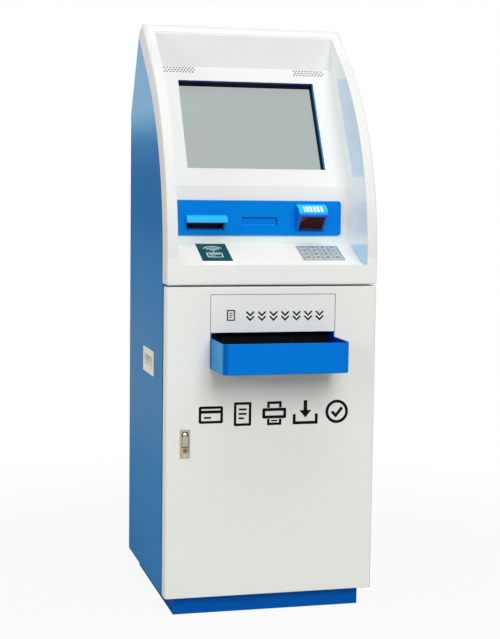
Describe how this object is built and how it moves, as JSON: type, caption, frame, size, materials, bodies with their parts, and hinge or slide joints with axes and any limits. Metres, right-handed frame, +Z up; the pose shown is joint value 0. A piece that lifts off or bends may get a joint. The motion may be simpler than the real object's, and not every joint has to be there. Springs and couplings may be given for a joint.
{
  "type": "report printing kiosk",
  "caption": "Free-standing self-service report printing kiosk: curved hood, leaning touch screen, receipt and scan hoods, keypad shelf, paper door with outlet tray.",
  "frame": {"origin": "middle of the overall box at floor level, the tray and the inlet included", "axes": "+Z up, the screen and the paper door face -Y, +X is to the right as a user sees it"},
  "size_m": [0.564, 0.691, 1.55],
  "materials": {
    "plinth_blue": "satin",
    "cabinet_blue": "satin",
    "handle_white": "fine grain",
    "frame_white": "satin",
    "panel_white": "gloss",
    "strip_blue": "gloss",
    "hood_blue": "gloss",
    "window_red": "gloss",
    "touch_black": "matte",
    "screen_grey": "gloss",
    "module_grey": "matte",
    "keypad_steel": "brushed",
    "label_teal": "satin",
    "module_black": "matte",
    "galvanised": "matte",
    "printer_beige": "fine grain",
    "computer_black": "satin",
    "hinge_steel": "brushed",
    "door_white": "satin",
    "tray_blue": "satin",
    "lock_metal": "satin",
    "plug_brass": "satin",
    "key_steel": "brushed"
  },
  "bodies": {
    "cabinet": {"plinth": "plinth_blue", "base_pan": "cabinet_blue", "left_side_panel": "cabinet_blue", "right_side_panel": "cabinet_blue", "left_pull_handle": "handle_white", "right_pull_handle": "handle_white", "rear_panel": "cabinet_blue", "door_jamb": "cabinet_blue", "front_frame": "frame_white", "header_panel": "panel_white", "left_cheek": "panel_white", "right_cheek": "panel_white", "screen_panel": "panel_white", "fascia_panel": "panel_white", "shelf_panel": "panel_white", "control_strip": "strip_blue", "receipt_hood": "hood_blue", "slot_cover": "strip_blue", "scanner_hood": "hood_blue", "scanner_window": "window_red", "touch_frame": "touch_black", "screen_glass": "screen_grey", "lcd_module": "module_grey", "keypad_base": "keypad_steel", "card_reader": "module_black", "reader_label": "label_teal", "receipt_printer": "module_black", "left_speaker": "module_black", "right_speaker": "module_black", "printer_shelf": "galvanised", "report_printer": "printer_beige", "paper_chute": "galvanised", "computer": "computer_black", "power_inlet": "module_black", "jamb_hinges": "hinge_steel"},
    "door": {"paper_door": "door_white", "outlet_plate": "door_white", "outlet_tray": "tray_blue", "lock_plate": "lock_metal", "door_hinges": "hinge_steel"},
    "handle": {"lock_handle": "lock_metal"},
    "lock": {"key_plug": "plug_brass", "lock_cam": "hinge_steel"},
    "key_1_body": {"key_1": "key_steel"},
    "key_2_body": {"key_2": "key_steel"},
    "key_3_body": {"key_3": "key_steel"},
    "key_cancel_body": {"key_cancel": "key_steel"},
    "key_4_body": {"key_4": "key_steel"},
    "key_5_body": {"key_5": "key_steel"},
    "key_6_body": {"key_6": "key_steel"},
    "key_clear_body": {"key_clear": "key_steel"},
    "key_7_body": {"key_7": "key_steel"},
    "key_8_body": {"key_8": "key_steel"},
    "key_9_body": {"key_9": "key_steel"},
    "key_blank_body": {"key_blank": "key_steel"},
    "key_star_body": {"key_star": "key_steel"},
    "key_0_body": {"key_0": "key_steel"},
    "key_hash_body": {"key_hash": "key_steel"},
    "key_enter_body": {"key_enter": "key_steel"}
  },
  "joints": [
    {"name": "door_swing", "type": "hinge", "parent": "cabinet", "child": "door", "pos_m": [0.274, -0.1605, 0.45], "axis": [0, 0, 1], "range_deg": [0, 95]},
    {"name": "handle_lift", "type": "hinge", "parent": "door", "child": "handle", "pos_m": [-0.2305, -0.209, 0.451], "axis": [1, 0, 0], "range_deg": [0, 35], "stiffness_Nm_per_rad": 0.06, "springref_deg": -11.46},
    {"name": "key_turn", "type": "hinge", "parent": "door", "child": "lock", "pos_m": [-0.2305, -0.2075, 0.4395], "axis": [0, -1, 0], "range_deg": [0, 90]},
    {"name": "key_1_press", "type": "slide", "parent": "cabinet", "child": "key_1_body", "axis": [0, 0.3746, -0.9272], "range_m": [0, 0.002], "stiffness_N_per_m": 600, "springref_m": -0.001},
    {"name": "key_2_press", "type": "slide", "parent": "cabinet", "child": "key_2_body", "axis": [0, 0.3746, -0.9272], "range_m": [0, 0.002], "stiffness_N_per_m": 600, "springref_m": -0.001},
    {"name": "key_3_press", "type": "slide", "parent": "cabinet", "child": "key_3_body", "axis": [0, 0.3746, -0.9272], "range_m": [0, 0.002], "stiffness_N_per_m": 600, "springref_m": -0.001},
    {"name": "key_cancel_press", "type": "slide", "parent": "cabinet", "child": "key_cancel_body", "axis": [0, 0.3746, -0.9272], "range_m": [0, 0.002], "stiffness_N_per_m": 600, "springref_m": -0.001},
    {"name": "key_4_press", "type": "slide", "parent": "cabinet", "child": "key_4_body", "axis": [0, 0.3746, -0.9272], "range_m": [0, 0.002], "stiffness_N_per_m": 600, "springref_m": -0.001},
    {"name": "key_5_press", "type": "slide", "parent": "cabinet", "child": "key_5_body", "axis": [0, 0.3746, -0.9272], "range_m": [0, 0.002], "stiffness_N_per_m": 600, "springref_m": -0.001},
    {"name": "key_6_press", "type": "slide", "parent": "cabinet", "child": "key_6_body", "axis": [0, 0.3746, -0.9272], "range_m": [0, 0.002], "stiffness_N_per_m": 600, "springref_m": -0.001},
    {"name": "key_clear_press", "type": "slide", "parent": "cabinet", "child": "key_clear_body", "axis": [0, 0.3746, -0.9272], "range_m": [0, 0.002], "stiffness_N_per_m": 600, "springref_m": -0.001},
    {"name": "key_7_press", "type": "slide", "parent": "cabinet", "child": "key_7_body", "axis": [0, 0.3746, -0.9272], "range_m": [0, 0.002], "stiffness_N_per_m": 600, "springref_m": -0.001},
    {"name": "key_8_press", "type": "slide", "parent": "cabinet", "child": "key_8_body", "axis": [0, 0.3746, -0.9272], "range_m": [0, 0.002], "stiffness_N_per_m": 600, "springref_m": -0.001},
    {"name": "key_9_press", "type": "slide", "parent": "cabinet", "child": "key_9_body", "axis": [0, 0.3746, -0.9272], "range_m": [0, 0.002], "stiffness_N_per_m": 600, "springref_m": -0.001},
    {"name": "key_blank_press", "type": "slide", "parent": "cabinet", "child": "key_blank_body", "axis": [0, 0.3746, -0.9272], "range_m": [0, 0.002], "stiffness_N_per_m": 600, "springref_m": -0.001},
    {"name": "key_star_press", "type": "slide", "parent": "cabinet", "child": "key_star_body", "axis": [0, 0.3746, -0.9272], "range_m": [0, 0.002], "stiffness_N_per_m": 600, "springref_m": -0.001},
    {"name": "key_0_press", "type": "slide", "parent": "cabinet", "child": "key_0_body", "axis": [0, 0.3746, -0.9272], "range_m": [0, 0.002], "stiffness_N_per_m": 600, "springref_m": -0.001},
    {"name": "key_hash_press", "type": "slide", "parent": "cabinet", "child": "key_hash_body", "axis": [0, 0.3746, -0.9272], "range_m": [0, 0.002], "stiffness_N_per_m": 600, "springref_m": -0.001},
    {"name": "key_enter_press", "type": "slide", "parent": "cabinet", "child": "key_enter_body", "axis": [0, 0.3746, -0.9272], "range_m": [0, 0.002], "stiffness_N_per_m": 600, "springref_m": -0.001}
  ]
}
